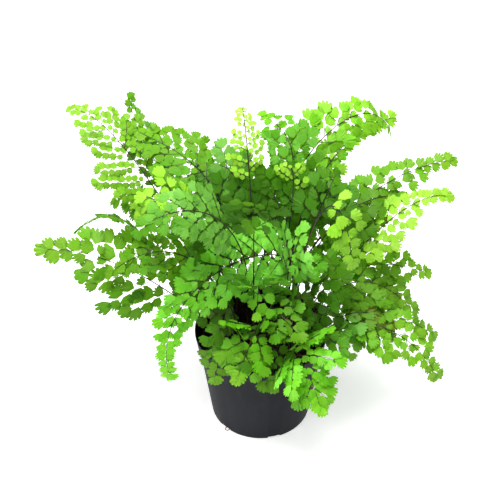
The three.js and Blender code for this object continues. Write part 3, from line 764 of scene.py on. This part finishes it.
def make_frond(number, row, foliage, materials):
    """One frond: a tapering stalk and midrib, tapering side branches, and the leaflets."""
    draw = np.random.default_rng(FROND_SEED + number)
    frond = read_frond(row, number)
    branches, placed = place_branches(frond, foliage, draw)
    leaf_points, uv, values, stalks, stalk_faces = make_leaflets(frond, placed, draw)
    count, per_leaf = leaf_points.shape[:2]
    leaf_total = count * per_leaf
    triangles, quads = fan_faces(count)
    points = [leaf_points.reshape(-1, 3)]
    faces = [(triangles, 0), (quads, 0)]
    total = leaf_total
    for bar_points, bar_quads in make_bars(frond, branches, stalks, stalk_faces, foliage):
        points.append(bar_points)
        faces.append((bar_quads + total, 1))
        total += len(bar_points)
    piece = make_object(f"maidenhair_frond_{number:02d}", np.concatenate(points), faces, materials)
    coordinates = np.zeros((total, 2))
    coordinates[:leaf_total] = uv.reshape(-1, 2)
    add_uv(piece, "leaflet", coordinates)
    for key, value in values.items():
        stored = np.zeros(total)
        stored[:leaf_total] = np.repeat(value, per_leaf)
        add_point_values(piece, f"leaf_{key}", stored)
    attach(piece, "root")
    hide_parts(f"frond_{number:02d}")


# ------------------------------------------------------------------ materials


def set_inputs(node, inputs):
    """Sets a node's inputs by name or number. Another node's output is linked, and a number,
    a vector or a colour is stored."""
    for key, value in inputs.items():
        target = node.inputs[key]
        if isinstance(value, bpy.types.NodeSocket):
            node.id_data.links.new(value, target)
        elif target.type == "RGBA":
            target.default_value = (*value, 1.0)
        else:
            target.default_value = value


def add_node(material, kind, inputs=(), **settings):
    """A node with the given properties and inputs."""
    node = material.node_tree.nodes.new(kind)
    for key, value in settings.items():
        setattr(node, key, value)
    set_inputs(node, dict(inputs))
    return node


def new_material(name):
    """A node material that holds only a Principled shader, linked to the output."""
    material = bpy.data.materials.new(name)
    material.use_nodes = True
    material.node_tree.nodes.clear()
    shader = add_node(material, "ShaderNodeBsdfPrincipled")
    surface = {"Surface": shader.outputs["BSDF"]}
    output = add_node(material, "ShaderNodeOutputMaterial", surface)
    return material, shader, output


def object_place(material):
    """Object coordinates, in metres."""
    return add_node(material, "ShaderNodeTexCoord").outputs["Object"]


def separate(material, place):
    """The X, Y and Z of a place."""
    return add_node(material, "ShaderNodeSeparateXYZ", {"Vector": place}).outputs


def noise(material, scale, detail, roughness=0.5, place=None):
    """Noise, in turns per metre, on object coordinates unless another place is given."""
    if place is None:
        place = object_place(material)
    inputs = {"Scale": scale, "Detail": detail, "Roughness": roughness, "Vector": place}
    return add_node(material, "ShaderNodeTexNoise", inputs).outputs["Fac"]


def ramp(material, factor, stops):
    """A colour ramp with the given (position, colour) stops."""
    node = add_node(material, "ShaderNodeValToRGB", {"Fac": factor})
    elements = node.color_ramp.elements
    while len(elements) < len(stops):
        elements.new(0.5)
    for element, (position, color) in zip(elements, stops):
        element.position = position
        element.color = (*color, 1.0)
    return node.outputs["Color"]


def mix_colors(material, factor, first, second):
    """A blend of two colours. In a colour mix they are the inputs 6 and 7."""
    inputs = {0: factor, 6: first, 7: second}
    return add_node(material, "ShaderNodeMix", inputs, data_type="RGBA").outputs[2]


def map_range(material, value, source, target):
    """A value carried from one range to another, and held inside it."""
    inputs = dict(zip(("From Min", "From Max", "To Min", "To Max"), (*source, *target)))
    inputs["Value"] = value
    return add_node(material, "ShaderNodeMapRange", inputs).outputs["Result"]


def math(material, operation, *values, clamp=False):
    """The result of an operation on values, each of which is an output or a number."""
    settings = {"operation": operation, "use_clamp": clamp}
    return add_node(material, "ShaderNodeMath", enumerate(values), **settings).outputs[0]


def attribute(material, name):
    """One of the numbers that are stored on a piece's points."""
    return add_node(material, "ShaderNodeAttribute", attribute_name=name).outputs["Fac"]


def bump(material, shader, height, strength, distance):
    """Roughens a shader's surface by a height."""
    inputs = {"Strength": strength, "Distance": distance, "Height": height}
    node = add_node(material, "ShaderNodeBump", inputs)
    set_inputs(shader, {"Normal": node.outputs["Normal"]})


def scaled(color, factor):
    """A colour with every channel multiplied."""
    return tuple(factor * channel for channel in color)


def speckled_material(name, stops, rough, **grain):
    """A surface whose colour follows noise through a ramp. Returns it and its shader."""
    material, shader, _ = new_material(name)
    color = ramp(material, noise(material, **grain), stops)
    set_inputs(shader, {"Base Color": color, "Roughness": rough})
    return material, shader


VEIN_PHASE = 138.0  # radians of the vein wave across a leaflet, for 22 veins
GROWN_AGE = 0.55
MOTTLING = (0.3, 0.85)  # what the mottling noise is multiplied by, and what is added
RUST_STRENGTH = 1.8
LIGHT_THROUGH = 0.32  # share of the light that a leaflet lets through
THROUGH_COLOR = (0.42, 0.80, 0.04)
THROUGH_TINT = 0.35  # how far the light that comes through takes that colour


def leaf_material(foliage):
    """Thin green leaf: colour by age, brightened by painted light on some fronds and darkened by
    painted shade on others, mottled, with fine veins that fan out from the stalk, and some of the
    light coming through from behind."""
    material, shader, output = new_material("maidenhair_leaf")
    ages = (0, GROWN_AGE, 1)
    # The old colour partly paints the sheen on the upper faces of old fronds.
    colors = (foliage.young_color, foliage.grown_color, foliage.old_and_sheen_color)
    color = ramp(material, attribute(material, "leaf_age"), list(zip(ages, colors)))
    shade = math(material, "MULTIPLY_ADD", noise(material, scale=260, detail=2), *MOTTLING)
    # Painted light and shade: each frond's painted brightness, times the mottling.
    painted_light_and_mottling = math(material, "MULTIPLY", attribute(material, "leaf_painted_light_and_tone"), shade)
    inputs = {0: color, "Scale": painted_light_and_mottling}
    lit_and_mottled_color = add_node(material, "ShaderNodeVectorMath", inputs, operation="SCALE").outputs[0]
    patches = noise(material, scale=180, detail=3)
    rusty = math(material, "MULTIPLY", attribute(material, "leaf_rust"), patches)
    rusty = math(material, "MULTIPLY", rusty, RUST_STRENGTH, clamp=True)
    color = mix_colors(material, rusty, lit_and_mottled_color, foliage.rust_color)
    set_inputs(shader, {"Base Color": color, "Roughness": 0.42, "Specular IOR Level": 0.3})

    place = add_node(material, "ShaderNodeUVMap", uv_map="leaflet").outputs["UV"]
    across = separate(material, place)["X"]
    veins = math(material, "SINE", math(material, "MULTIPLY", across, VEIN_PHASE))
    bump(material, shader, veins, strength=0.35, distance=0.3 * MM)

    lit = mix_colors(material, THROUGH_TINT, color, THROUGH_COLOR)
    through = add_node(material, "ShaderNodeBsdfTranslucent", {"Color": lit})
    inputs = {0: LIGHT_THROUGH, 1: shader.outputs["BSDF"], 2: through.outputs["BSDF"]}
    mixed = add_node(material, "ShaderNodeMixShader", inputs)
    set_inputs(output, {"Surface": mixed.outputs["Shader"]})
    return material


def stalk_material(foliage):
    """Wiry, polished, nearly black stalk with a brown cast in places."""
    stops = [(0.35, foliage.stalk_color), (0.75, (0.06, 0.025, 0.018))]
    material, _ = speckled_material("maidenhair_stalk", stops, 0.32, scale=90, detail=2)
    return material


FLOW_MARKS = (1.0, 1.0, 0.25)  # the scuffs are drawn out four times up the wall
SCUFF_AND_FLOOR_LIGHT_BRIGHTNESS = 3.2  # of scuffed plastic against clean, and also the colour of the painted floor light
# Share of the painted floor light at the very base of the pot.
FLOOR_LIGHT_AT_BASE = 0.8
PLASTIC_ROUGHNESS = (0.45, 0.68)  # clean and scuffed


def plastic_material(pot):
    """Black moulded plastic: faint flow marks and dull scuffs, and painted light from the white floor
    that grows towards the base.
    """
    material, shader, _ = new_material("nursery_pot_plastic")
    clean = tuple(pot.plastic_color)
    scuffed_and_floor_lit = scaled(clean, SCUFF_AND_FLOOR_LIGHT_BRIGHTNESS)
    place = object_place(material)
    drawn_out = add_node(material, "ShaderNodeMapping", {"Vector": place, "Scale": FLOW_MARKS})
    streaks = drawn_out.outputs["Vector"]
    scuffs = noise(material, scale=160, detail=6, roughness=0.7, place=streaks)
    color = ramp(material, scuffs, [(0.45, clean), (0.8, scuffed_and_floor_lit)])
    height = separate(material, place)["Z"]
    # Painted light reflected from the white floor: strongest at the base, gone at the height above.
    painted_floor_light = map_range(material, height, (0.0, pot.floor_light_height), (FLOOR_LIGHT_AT_BASE, 0.0))
    color = mix_colors(material, painted_floor_light, color, scuffed_and_floor_lit)
    rough = map_range(material, scuffs, (0.0, 1.0), PLASTIC_ROUGHNESS)
    set_inputs(shader, {"Base Color": color, "Roughness": rough, "Specular IOR Level": 0.16})
    grain = noise(material, scale=900, detail=2)
    bump(material, shader, grain, strength=0.12, distance=0.4 * MM)
    return material


def compost_material(pot):
    """Moist dark potting mix of crumbs and fibre."""
    dark = pot.compost_color
    stops = [(0.3, scaled(dark, 0.35)), (0.55, dark), (0.8, (0.075, 0.042, 0.022))]
    crumbs = {"scale": 420, "detail": 5, "roughness": 0.65}
    material, shader = speckled_material("potting_mix", stops, 0.9, **crumbs)
    grain = noise(material, scale=1100, detail=4, roughness=0.7)
    bump(material, shader, grain, strength=0.6, distance=0.8 * MM)
    return material


def root_material():
    """Dry pinkish brown root skin."""
    stops = [(0.3, (0.30, 0.15, 0.10)), (0.7, (0.62, 0.42, 0.33))]
    material, _ = speckled_material("root_skin", stops, 0.75, scale=700, detail=3)
    return material


def floor_material():
    """Plain matte white table top that glows a little, as a lit sweep does."""
    stops = [(0.2, (0.80, 0.80, 0.81)), (0.8, (0.84, 0.84, 0.845))]
    material, shader = speckled_material("white_table", stops, 0.6, scale=3, detail=2)
    set_inputs(shader, {"Emission Color": (1.0, 1.0, 1.0), "Emission Strength": 0.57})
    return material


# ------------------------------------------------------------------ pot

POT_SEGMENTS = 192
BASE_RADIUS = 50 * MM
SHOULDER_RADIUS = 61.8 * MM  # of the wall just below the rim band
BAND_STEP = 1.4 * MM  # how far the band stands out from the wall
BAND_SLANT = 0.7 * MM  # height over which it does so
LIP_STEP = 0.5 * MM  # how far the lip stands out from the band
LIP_HEIGHT = 2.2 * MM
LIP_UNDERSIDE = 3.2 * MM  # from the top of the rim down to where the lip begins
LIP_WIDTH = 1.7 * MM
INNER_STEP_TOP = 2 * MM  # ends of the step in the inner wall, above the shoulder
INNER_STEP_LOW = 1 * MM  # and below it
FLOOR_THICKNESS = 4 * MM
CREASE_ANGLE = 35  # degrees, above which an edge of the pot stays sharp

CHANNEL_COUNT = 6
CHANNEL_TURN = -75  # azimuth of the first channel, in degrees
CHANNEL_WIDTH = 12.5 * MM
CHANNEL_HEIGHT = 2.4 * MM
CHANNEL_START = 14 * MM
DRAIN_RADIUS = 4.5 * MM
DRAIN_CENTRE = 36 * MM
DRAIN_SEGMENTS = 32


def ring_points(radius, turn, height):
    """Points at a distance from the Z axis, an angle round it and a height."""
    return np.stack(np.broadcast_arrays(radius * np.cos(turn), radius * np.sin(turn), height), -1)


def lathe(profile, segments):
    """A profile of (radius, height) turned about the Z axis. Its first and last points lie on
    the axis, where each ring shrinks to one point. Returns points, triangles and quads."""
    inner = np.array(profile[1:-1])
    rings = ring_points(inner[:, :1], full_turn(segments), inner[:, 1:])
    return close_rings(rings, (0, 0, profile[0][1]), (0, 0, profile[-1][1]))


def rounded(corner, before, after, reach, count=5):
    """Points of a quadratic curve that rounds off a corner. It starts and ends at the reach from
    the corner, towards its two neighbours."""
    corner, before, after = (np.array(point) for point in (corner, before, after))
    start = corner + unit(before - corner) * reach
    end = corner + unit(after - corner) * reach
    t = np.linspace(0, 1, count)[:, None]
    curve = (1 - t) ** 2 * start + 2 * t * (1 - t) * corner + t * t * end
    return [tuple(point) for point in curve]


def pot_profile(pot):
    """Underside, outer wall, rim band, lip, inner wall and floor, from the axis to the axis.
    Each corner is listed with how far its rounding reaches along both of its sides."""
    rim, _, height = POT_HIGH
    shoulder = height - pot.band_height
    band_radius = SHOULDER_RADIUS + BAND_STEP
    slope = (SHOULDER_RADIUS - BASE_RADIUS) / shoulder
    floor_radius = BASE_RADIUS + slope * FLOOR_THICKNESS
    corners = [
        ((0, 0), 0),
        ((BASE_RADIUS, 0), 1.2 * MM),
        ((SHOULDER_RADIUS, shoulder), 0.25 * MM),
        ((band_radius, shoulder + BAND_SLANT), 0.35 * MM),
        ((rim - LIP_STEP, height - LIP_UNDERSIDE), 0.4 * MM),
        ((rim, height - LIP_HEIGHT), 0.4 * MM),
        ((rim, height), 0.7 * MM),
        ((rim - LIP_WIDTH, height), 0.7 * MM),
        ((band_radius - pot.wall, shoulder + INNER_STEP_TOP), 0.5 * MM),
        ((SHOULDER_RADIUS - pot.wall, shoulder - INNER_STEP_LOW), 0.5 * MM),
        ((floor_radius - pot.wall, FLOOR_THICKNESS), 1.5 * MM),
        ((0, FLOOR_THICKNESS), 0),
    ]
    points = [corners[0][0]]
    for (before, _), (corner, reach), (after, _) in zip(corners, corners[1:], corners[2:]):
        points += rounded(corner, before, after, reach)
    points.append(corners[-1][0])
    return points


def channel_cutters():
    """A box for each drain channel and a round bar for its drain hole, in one mesh of closed
    prisms. Each is an outline, measured out from the axis and sideways, carried up from below
    the pot."""
    half = CHANNEL_WIDTH / 2
    start, end = CHANNEL_START, 2 * BASE_RADIUS
    box = np.array([(start, -half), (end, -half), (end, half), (start, half)])
    turn = full_turn(DRAIN_SEGMENTS)
    bar = DRAIN_RADIUS * np.stack([np.cos(turn), np.sin(turn)], -1) + (DRAIN_CENTRE, 0)
    points, quads, ends = [], [], []
    total = 0
    for k in range(CHANNEL_COUNT):
        out = horizontal(CHANNEL_TURN + 360 * k / CHANNEL_COUNT)
        side = np.cross(UP, out)
        for outline, top in ((box, CHANNEL_HEIGHT), (bar, 2 * FLOOR_THICKNESS)):
            count = len(outline)
            level = outline[:, :1] * out + outline[:, 1:] * side
            points += [level - UP * FLOOR_THICKNESS, level + UP * top]
            quads.append((ring_quads(np.array([total]), count), 0))
            base = total + np.arange(count)
            ends += [(base[None, ::-1], 0), (base[None] + count, 0)]
            total += 2 * count
    return np.concatenate(points), quads + ends


def make_pot(pot):
    """The moulded pot: a lathed shell with the drain channels and holes cut out of its floor."""
    points, triangles, quads = lathe(pot_profile(pot), POT_SEGMENTS)
    faces = [(triangles, 0), (quads, 0)]
    piece = make_object("nursery_pot", points, faces, [plastic_material(pot)])
    cutter = make_object("channel_cutters", *channel_cutters(), [], smooth=False)
    cut = piece.modifiers.new("drain_channels", "BOOLEAN")
    cut.object = cutter
    cut.operation = "DIFFERENCE"
    cut.solver = "EXACT"
    cut.use_self = True
    depsgraph = bpy.context.evaluated_depsgraph_get()
    finished = bpy.data.meshes.new_from_object(piece.evaluated_get(depsgraph))
    piece.modifiers.clear()
    piece.data = finished
    bpy.data.objects.remove(cutter)
    finished.shade_smooth()
    finished.set_sharp_from_angle(angle=np.radians(CREASE_ANGLE))
    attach(piece, "root")
    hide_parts("pot")


# ------------------------------------------------------------------ compost

SOIL_SEED = 7
SOIL_SEGMENTS = 96
SOIL_RINGS = 30
SOIL_RADIUS = SOIL_HIGH[0] - 0.1 * MM
SOIL_MIDDLE = 1.5 * MM  # radius of the innermost ring
SOIL_BASE_GAP = 0.4 * MM  # between the body's base and the pot's wall
WAVE_ROOM = 1.2 * MM  # from the top of the dome up to the top of its box
DOME_DROP = 3 * MM  # from the middle of the dome to its edge
# Length and depth of each wave.
SOIL_WAVES = [(31 * MM, 0.7 * MM), (13 * MM, 0.5 * MM), (6 * MM, 0.35 * MM)]
STRAIGHT_WAVES = 6.3  # radians for each wave length, about one full turn
DIAGONAL_WAVES = 4.4  # the same for waves that run at 45 degrees

CRUMB_COUNT = 1500
CRUMB_SIDES = 7
CRUMB_RINGS = [(0.0, 0.85, -0.42), (0.4, 0.85, 0.42)]  # turn, radius and height
CRUMB_POLE = 0.9
CRUMB_DENTS = (0.65, 1.2)  # least and most that a point's distance is multiplied by
CRUMB_STRETCH = [(0.7, 0.7, 0.45), (1.5, 1.0, 0.9)]  # least and most along X, Y and Z
CRUMB_SHAPE = 3.0  # of the gamma distribution that sizes the crumbs
CRUMB_SCALE = 0.42  # and its scale, in millimetres
CRUMB_LIMITS = (0.5, 3.0)  # smallest and largest, in millimetres
CRUMB_AREA = 0.97  # share of the top over which they lie
CRUMB_ROOM = 1.5  # from a crumb to the edge at least, in crumb sizes
CRUMB_RISE = 0.15  # from the dome up to its middle, in crumb sizes


def dome_height(radius):
    """Height of the compost without its waves, which falls by the cube of the radius."""
    return SOIL_HIGH[2] - WAVE_ROOM - DOME_DROP * (radius / SOIL_HIGH[0]) ** 3


def soil_height(radius, turn, draw):
    """Height of the compost: the dome with waves of three lengths, each a product of a sine
    and a cosine along X and Y with a diagonal sine on top."""
    height = dome_height(radius)
    x, y = radius * np.cos(turn), radius * np.sin(turn)
    for length, depth in SOIL_WAVES:
        # The fourth number is drawn and not used, so that the later draws keep their order.
        first, second, third, _ = draw.uniform(0, 2 * np.pi, 4)
        straight = STRAIGHT_WAVES / length
        wave = np.sin(x * straight + first) * np.cos(y * straight + second)
        wave = wave + np.sin((x + y) * DIAGONAL_WAVES / length + third)
        height = height + depth / 2 * wave
    return height


def soil_body(pot, draw):
    """The closed body of the compost, from its flat base up its side and over the top. Returns
    points, triangles and quads."""
    turn = full_turn(SOIL_SEGMENTS)
    radius = np.linspace(SOIL_RADIUS, SOIL_MIDDLE, SOIL_RINGS)[:, None]
    height = soil_height(radius, turn, draw)
    top = ring_points(radius, turn, height)
    base = ring_points(BASE_RADIUS - pot.wall - SOIL_BASE_GAP, turn, SOIL_LOW[2])
    rings = np.concatenate([base[None], top])
    return close_rings(rings, (0, 0, SOIL_LOW[2]), (0, 0, height[-1].mean()))


def crumb_points(centres, sizes, draw):
    """Lumps of compost: a squashed ball of two rings and two poles, each point pushed in or out
    at random. Returns points, triangles and quads for all crumbs."""
    count = len(sizes)
    turn = full_turn(CRUMB_SIDES)
    rings = [ring_points(radius, turn + shift, z) for shift, radius, z in CRUMB_RINGS]
    ball = np.concatenate([*rings, [[0, 0, -CRUMB_POLE], [0, 0, CRUMB_POLE]]])
    lumps = ball[None] * draw.uniform(*CRUMB_DENTS, (count, len(ball), 1))
    stretch = draw.uniform(*CRUMB_STRETCH, (count, 3))
    turned = draw.uniform(0, 2 * np.pi, count)
    lumps = lumps * stretch[:, None] * sizes[:, None, None]
    cos, sin = np.cos(turned)[:, None], np.sin(turned)[:, None]
    x = lumps[..., 0] * cos - lumps[..., 1] * sin
    y = lumps[..., 0] * sin + lumps[..., 1] * cos
    points = np.stack([x, y, lumps[..., 2]], -1) + centres[:, None]
    first = np.arange(count) * len(ball)
    pole = first + 2 * CRUMB_SIDES
    low = pole_triangles(pole, first, CRUMB_SIDES, below=True)
    high = pole_triangles(pole + 1, first + CRUMB_SIDES, CRUMB_SIDES, below=False)
    return points.reshape(-1, 3), np.concatenate([low, high]), ring_quads(first, CRUMB_SIDES)


def scatter_crumbs(draw):
    """Crumbs spread evenly over the top of the compost, clear of its edge."""
    spread = SOIL_RADIUS * np.sqrt(draw.uniform(0, CRUMB_AREA, CRUMB_COUNT))
    turn = draw.uniform(0, 2 * np.pi, CRUMB_COUNT)
    sizes = draw.gamma(CRUMB_SHAPE, CRUMB_SCALE, CRUMB_COUNT).clip(*CRUMB_LIMITS) * MM
    spread = np.minimum(spread, SOIL_RADIUS - CRUMB_ROOM * sizes)
    centres = ring_points(spread, turn, dome_height(spread) + CRUMB_RISE * sizes)
    return crumb_points(centres, sizes, draw)


def make_compost(pot):
    """The potting mix: a closed body that fits the pot, with loose crumbs bedded in its top."""
    draw = np.random.default_rng(SOIL_SEED)
    body, triangles, quads = soil_body(pot, draw)
    crumbs, crumb_triangles, crumb_quads = scatter_crumbs(draw)
    blocks = [triangles, quads, crumb_triangles + len(body), crumb_quads + len(body)]
    faces = [(block, 0) for block in blocks]
    points = np.concatenate([body, crumbs])
    piece = make_object("potting_mix", points, faces, [compost_material(pot)])
    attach(piece, "root")
    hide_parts("soil")


# ------------------------------------------------------------------ root

# In millimetres.
ROOT_ROUTE = [
    (-29.0, -29.5, 1.3),
    (-33.5, -34.0, 1.1),
    (-36.2, -37.6, 0.8),
    (-34.0, -39.4, 0.7),
    (-31.6, -38.0, 0.8),
    (-29.6, -34.6, 1.2),
]
ROOT_POINTS = 60
ROOT_SIDES = 10
ROOT_RADIUS = 0.46
ROOT_KNOBS = 0.05  # how much the radius swells and shrinks


def make_root():
    """The thin root that lies in a drain channel and loops out of its mouth."""
    t = np.linspace(0, len(ROOT_ROUTE) - 1, ROOT_POINTS)
    path = smooth_curve(np.array(ROOT_ROUTE) * MM, t)
    radius = (ROOT_RADIUS + ROOT_KNOBS * np.sin(5 * t)) * MM
    radius[[0, -1]] = 0
    points, quads = sweep(path[None], radius[None], UP[None], ROOT_SIDES)
    piece = make_object("drain_root", points, [(quads, 0)], [root_material()])
    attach(piece, "root")
    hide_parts("root_loop")


# ------------------------------------------------------------------ stage

CAMERA_TARGET = (-0.011, 0.0, 0.202)
LENS = 78.0  # millimetres, on a sensor of the width below
SENSOR_WIDTH = 36.0
FLOOR_HALF = 6.0
LIGHT_TARGET = (0.0, 0.0, 0.2)
SOFTBOX_SIZE = 0.9
OVERHEAD_PLACE = (-0.15, -0.1, 1.5)
FRONT_PLACE = (-1.1, -1.1, 1.0)


def aim_object(name, data, location, target):
    """An object that looks from its place at the target."""
    aimed = bpy.data.objects.new(name, data)
    aimed.location = location
    aimed.rotation_mode = "QUATERNION"
    aimed.rotation_quaternion = (Vector(target) - Vector(location)).to_track_quat("-Z", "Y")
    bpy.context.scene.collection.objects.link(aimed)
    return aimed


def add_softbox(name, location, power):
    """A square area light that points at the middle of the plant."""
    light = bpy.data.lights.new(name, "AREA")
    light.size = SOFTBOX_SIZE
    light.energy = power
    aim_object(name, light, location, LIGHT_TARGET)


def make_camera(stage):
    """A long lens that looks down on the front of the plant."""
    elevation = stage.camera_elevation
    back = Vector((0.0, -np.cos(elevation), np.sin(elevation)))
    data = bpy.data.cameras.new("camera")
    data.lens = LENS
    data.sensor_width = SENSOR_WIDTH
    location = Vector(CAMERA_TARGET) + back * stage.camera_distance
    bpy.context.scene.camera = aim_object("camera", data, location, CAMERA_TARGET)


def make_stage(stage):
    """White floor, white surroundings, an overhead softbox and a weaker one at the front left."""
    make_camera(stage)
    corners = FLOOR_HALF * np.array([(-1, -1, 0), (1, -1, 0), (1, 1, 0), (-1, 1, 0)])
    faces = [(np.array([[0, 1, 2, 3]]), 0)]
    floor = make_object("floor", corners, faces, [floor_material()], smooth=False)
    add_softbox("overhead_softbox", OVERHEAD_PLACE, stage.top_light)
    add_softbox("front_softbox", FRONT_PLACE, stage.side_light)
    world = bpy.data.worlds.new("studio")
    world.use_nodes = True
    background = world.node_tree.nodes["Background"]
    set_inputs(background, {"Color": (1.0, 1.0, 1.0), "Strength": stage.sky})
    scene = bpy.context.scene
    scene.world = world
    scene.view_settings.view_transform = "Standard"
    scene.view_settings.look = "Medium High Contrast"


# ------------------------------------------------------------------ operators and panel


class FERN_OT_stage(bpy.types.Operator):
    """Set up the camera, the floor and the lights"""

    bl_idname = "fern.stage"
    bl_label = "Set up stage"

    def execute(self, context):
        make_stage(context.scene.fern_stage)
        return {"FINISHED"}


class FERN_OT_pot(bpy.types.Operator):
    """Make the nursery pot"""

    bl_idname = "fern.pot"
    bl_label = "Make pot"

    def execute(self, context):
        make_pot(context.scene.fern_pot)
        return {"FINISHED"}


class FERN_OT_compost(bpy.types.Operator):
    """Fill the pot with potting mix"""

    bl_idname = "fern.compost"
    bl_label = "Fill with compost"

    def execute(self, context):
        make_compost(context.scene.fern_pot)
        return {"FINISHED"}


class FERN_OT_root(bpy.types.Operator):
    """Make the root that has grown out of a drain channel"""

    bl_idname = "fern.root"
    bl_label = "Make root"

    def execute(self, context):
        make_root()
        return {"FINISHED"}


class FERN_OT_fronds(bpy.types.Operator):
    """Grow every frond, each as one piece"""

    bl_idname = "fern.fronds"
    bl_label = "Grow fronds"

    def execute(self, context):
        foliage = context.scene.fern_foliage
        materials = [leaf_material(foliage), stalk_material(foliage)]
        for number, row in enumerate(FRONDS, start=1):
            make_frond(number, row, foliage, materials)
        return {"FINISHED"}


class FERN_PT_panel(bpy.types.Panel):
    """Lists the settings and the steps that build the plant"""

    bl_label = "Potted fern"
    bl_idname = "FERN_PT_panel"
    bl_space_type = "VIEW_3D"
    bl_region_type = "UI"
    bl_category = "Fern"

    def draw(self, context):
        layout = self.layout
        scene = context.scene
        for settings in (scene.fern_stage, scene.fern_pot, scene.fern_foliage):
            for name in settings.__annotations__:
                layout.prop(settings, name)
        for operator in OPERATORS:
            layout.operator(operator.bl_idname)


SETTINGS = {
    "fern_stage": StageSettings,
    "fern_pot": PotSettings,
    "fern_foliage": FoliageSettings,
}
OPERATORS = (FERN_OT_stage, FERN_OT_pot, FERN_OT_compost, FERN_OT_root, FERN_OT_fronds)


def register():
    """Makes the settings, the operators and the panel known to Blender."""
    for cls in (*SETTINGS.values(), *OPERATORS, FERN_PT_panel):
        bpy.utils.register_class(cls)
    for name, cls in SETTINGS.items():
        setattr(bpy.types.Scene, name, bpy.props.PointerProperty(type=cls))


def unregister():
    """Takes them away again."""
    for name in SETTINGS:
        delattr(bpy.types.Scene, name)
    for cls in (FERN_PT_panel, *OPERATORS, *SETTINGS.values()):
        bpy.utils.unregister_class(cls)


def main():
    """Builds everything."""
    register()
    bpy.ops.fern.stage()
    bpy.ops.fern.pot()
    bpy.ops.fern.compost()
    bpy.ops.fern.root()
    bpy.ops.fern.fronds()


if __name__ == "__main__":
    main()
